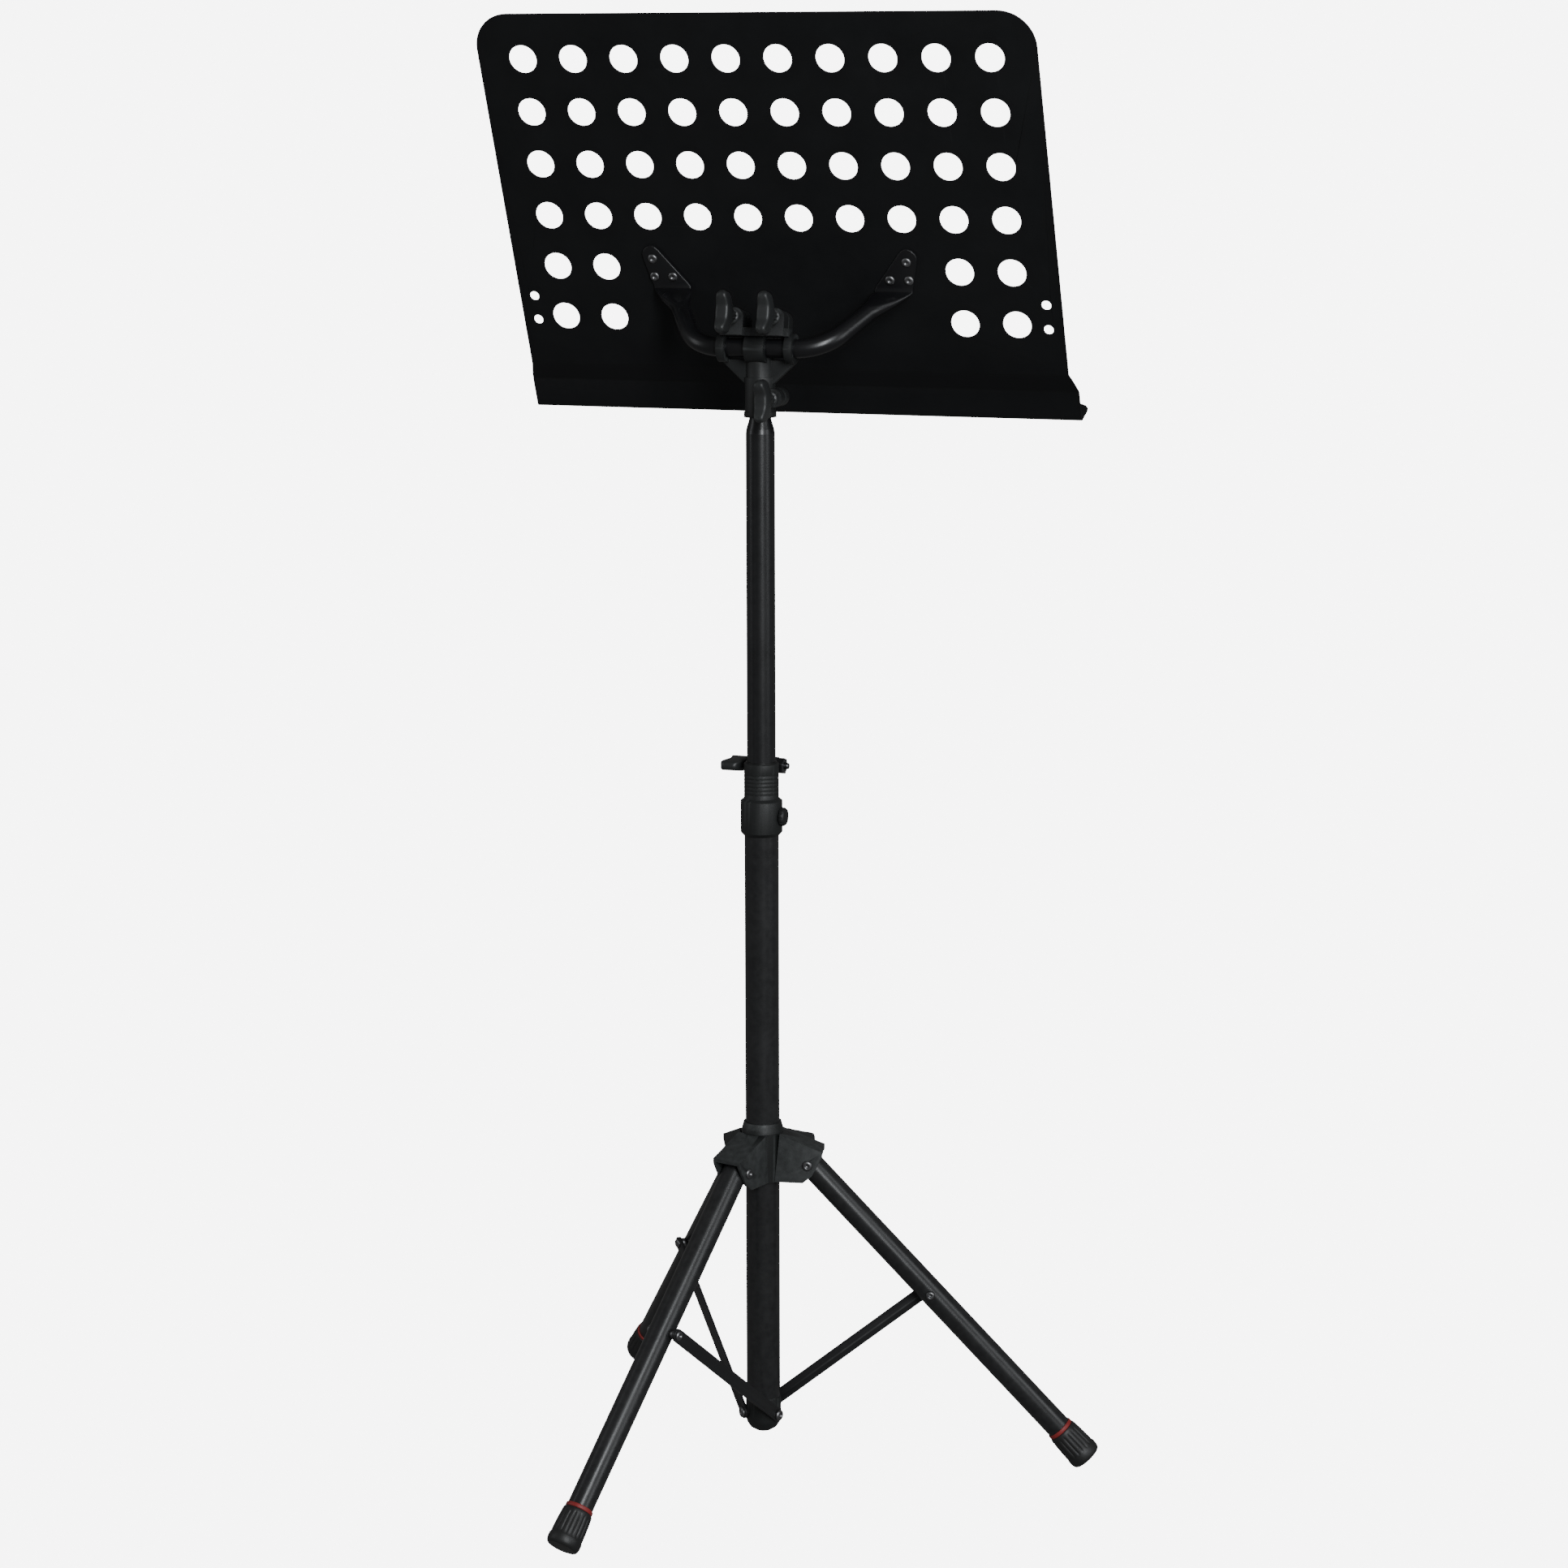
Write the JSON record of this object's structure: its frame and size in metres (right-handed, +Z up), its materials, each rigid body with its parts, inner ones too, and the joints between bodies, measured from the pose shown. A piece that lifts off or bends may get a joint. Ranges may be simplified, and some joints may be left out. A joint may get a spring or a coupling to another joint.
{
  "type": "music stand",
  "caption": "Folding tripod music stand with a perforated tilting desk, a sheet ledge, a telescopic mast, wing-knob clamps and rubber feet with red bands.",
  "frame": {"origin": "on the floor under the axis of the mast, between the three feet", "axes": "+Z up along the mast; the musician stands on the -Y side and the desk's perforated back faces +Y; +X along the desk's width"},
  "size_m": [0.5449, 0.5089, 1.2728],
  "materials": {
    "desk_paint": "matt black powder coat",
    "tube_paint": "satin black enamel on steel tube",
    "strut_paint": "satin black enamel on flat steel bar",
    "casting": "dark grey moulded nylon",
    "knob_plastic": "dark grey moulded nylon",
    "bush_plastic": "black acetal",
    "rubber": "matt black rubber",
    "red_band": "red rubber",
    "zinc": "zinc plated steel",
    "rivet": "blackened steel"
  },
  "bodies": {
    "mast": {"lower_tube": "tube_paint", "bottom_cap": "casting", "cap_pivots": "rivet", "height_collar": "casting", "collar_bush": "bush_plastic", "collar_screw": "knob_plastic", "height_nut": "zinc"},
    "height_clamp": {"height_screw": "zinc", "height_knob": "knob_plastic"},
    "hub": {"hub_casting": "casting", "leg_pivots": "rivet"},
    "hub_lock": {"hub_screw": "zinc", "hub_knob": "knob_plastic"},
    "upper_mast": {"upper_tube": "tube_paint", "tube_guide": "bush_plastic"},
    "head": {"head_casting": "casting", "tilt_jaw": "casting", "tilt_nut_1": "zinc", "tilt_nut_2": "zinc", "neck_nut": "zinc"},
    "tilt_clamp_1": {"tilt_screw_1": "zinc", "tilt_knob_1": "knob_plastic"},
    "tilt_clamp_2": {"tilt_screw_2": "zinc", "tilt_knob_2": "knob_plastic"},
    "neck_clamp": {"neck_screw": "zinc", "neck_knob": "knob_plastic"},
    "desk": {"desk_panel": "desk_paint", "desk_yoke": "tube_paint", "yoke_rivets": "rivet"},
    "leg_1": {"leg_1": "tube_paint", "foot_ring_1": "red_band", "foot_1": "rubber", "leg_rivet_1": "rivet"},
    "brace_1": {"strut_1": "strut_paint", "strut_rivet_1": "rivet"},
    "leg_2": {"leg_2": "tube_paint", "foot_ring_2": "red_band", "foot_2": "rubber", "leg_rivet_2": "rivet"},
    "brace_2": {"strut_2": "strut_paint", "strut_rivet_2": "rivet"},
    "leg_3": {"leg_3": "tube_paint", "foot_ring_3": "red_band", "foot_3": "rubber", "leg_rivet_3": "rivet"},
    "brace_3": {"strut_3": "strut_paint", "strut_rivet_3": "rivet"}
  },
  "joints": [
    {"name": "hub_slide", "type": "slide", "parent": "mast", "child": "hub", "axis": [0, 0, 1], "range_m": [0, 0.11]},
    {"name": "leg_1_fold", "type": "hinge", "parent": "hub", "child": "leg_1", "pos_m": [0.01145, 0.03916, 0.27544], "axis": [-0.9598, 0.2807, 0], "range_deg": [0, 43.02]},
    {"name": "brace_1_fold", "type": "hinge", "parent": "mast", "child": "brace_1", "pos_m": [-0.01452, 0.00737, 0.043], "axis": [0.9598, -0.2807, 0], "range_deg": [0, 40.22]},
    {"name": "leg_2_fold", "type": "hinge", "parent": "hub", "child": "leg_2", "pos_m": [-0.03964, -0.00966, 0.27544], "axis": [0.2368, -0.9715, 0], "range_deg": [0, 43.02]},
    {"name": "brace_2_fold", "type": "hinge", "parent": "mast", "child": "brace_2", "pos_m": [0.00088, -0.01625, 0.043], "axis": [-0.2368, 0.9715, 0], "range_deg": [0, 40.22]},
    {"name": "leg_3_fold", "type": "hinge", "parent": "hub", "child": "leg_3", "pos_m": [0.02819, -0.0295, 0.27544], "axis": [0.723, 0.6909, 0], "range_deg": [0, 43.02]},
    {"name": "brace_3_fold", "type": "hinge", "parent": "mast", "child": "brace_3", "pos_m": [0.01364, 0.00889, 0.043], "axis": [-0.723, -0.6909, 0], "range_deg": [0, 40.22]},
    {"name": "mast_slide", "type": "slide", "parent": "mast", "child": "upper_mast", "axis": [0, 0, 1], "range_m": [-0.25, 0.2]},
    {"name": "head_swivel", "type": "hinge", "parent": "upper_mast", "child": "head", "pos_m": [0, 0, 0.934], "axis": [0, 0, 1], "continuous": true},
    {"name": "desk_tilt", "type": "hinge", "parent": "head", "child": "desk", "pos_m": [0, 0.006, 0.993], "axis": [-1, 0, 0], "range_deg": [-30, 65]},
    {"name": "height_knob_turn", "type": "hinge", "parent": "mast", "child": "height_clamp", "pos_m": [0.02, -0.021, 0.628], "axis": [1, 0, 0], "continuous": true},
    {"name": "hub_knob_turn", "type": "hinge", "parent": "hub", "child": "hub_lock", "pos_m": [-0.00842, -0.02879, 0.28544], "axis": [-0.2807, -0.9598, 0], "continuous": true},
    {"name": "tilt_knob_1_turn", "type": "hinge", "parent": "head", "child": "tilt_clamp_1", "pos_m": [0.0184, 0.02057, 1.02063], "axis": [0, 0.9781, 0.2079], "continuous": true},
    {"name": "tilt_knob_2_turn", "type": "hinge", "parent": "head", "child": "tilt_clamp_2", "pos_m": [-0.0184, 0.02057, 1.02063], "axis": [0, 0.9781, 0.2079], "continuous": true},
    {"name": "neck_knob_turn", "type": "hinge", "parent": "head", "child": "neck_clamp", "pos_m": [-0.015, 0.02, 0.951], "axis": [0, 1, 0], "continuous": true}
  ],
  "couplings": [
    {"joint": "leg_1_fold", "follows": "hub_slide", "rad_per_m": 6.8227},
    {"joint": "brace_1_fold", "follows": "hub_slide", "rad_per_m": 6.3786},
    {"joint": "leg_2_fold", "follows": "hub_slide", "rad_per_m": 6.8227},
    {"joint": "brace_2_fold", "follows": "hub_slide", "rad_per_m": 6.3786},
    {"joint": "leg_3_fold", "follows": "hub_slide", "rad_per_m": 6.8227},
    {"joint": "brace_3_fold", "follows": "hub_slide", "rad_per_m": 6.3786}
  ]
}
